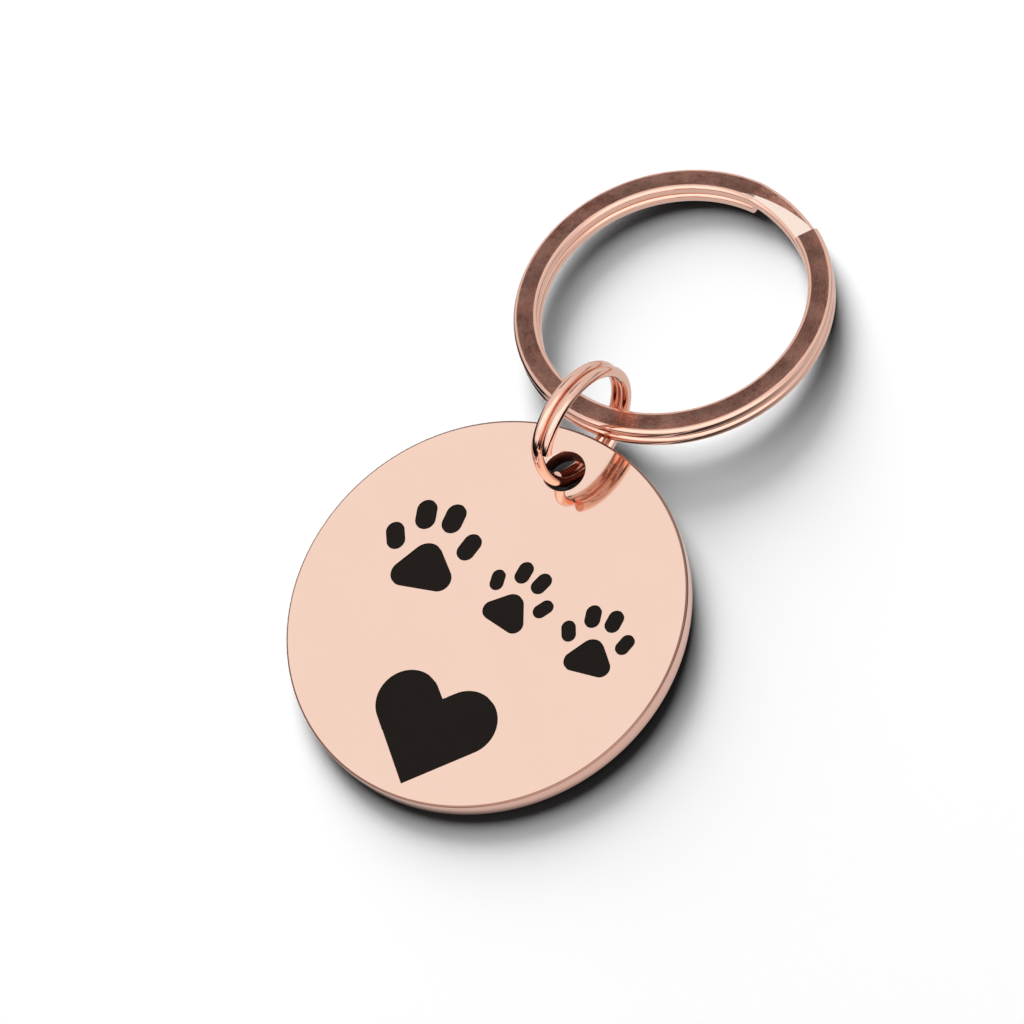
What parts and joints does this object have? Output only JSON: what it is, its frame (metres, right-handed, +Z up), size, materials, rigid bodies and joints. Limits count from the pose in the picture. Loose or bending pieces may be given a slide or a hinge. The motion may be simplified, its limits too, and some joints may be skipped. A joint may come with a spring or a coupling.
{
  "type": "pet id tag",
  "caption": "Round polished metal tag with an engraved heart and paw prints, held by a small split ring on a flat-wire key ring that clips to a collar.",
  "frame": {"origin": "on the table, under the middle of the whole thing as it lies", "axes": "+Z up, +X from the disc towards the key ring, +Y across"},
  "size_m": [0.0544, 0.03, 0.0097],
  "materials": {
    "tag_metal": "mirror-polished rose gold plating on steel",
    "ring_metal": "polished rose gold plating on spring steel, with a duller flat face",
    "black_enamel": "hard black enamel, slightly under the metal's face"
  },
  "bodies": {
    "tag": {"tag_disc": "tag_metal", "heart_fill": "black_enamel", "left_paw_fill": "black_enamel", "middle_paw_fill": "black_enamel", "right_paw_fill": "black_enamel"},
    "small_ring": {"small_split_ring": "ring_metal"},
    "key_ring": {"key_ring": "ring_metal"}
  },
  "joints": [
    {"name": "ring_swing", "type": "hinge", "parent": "tag", "child": "small_ring", "pos_m": [0.00254, -0.00036, 0.00485], "axis": [-0.1219, -0.9925, 0], "range_deg": [0, 192]},
    {"name": "key_ring_travel", "type": "hinge", "parent": "small_ring", "child": "key_ring", "pos_m": [0.01521, 0, 0.00189], "axis": [0.082, 0, 0.9966], "continuous": true}
  ]
}
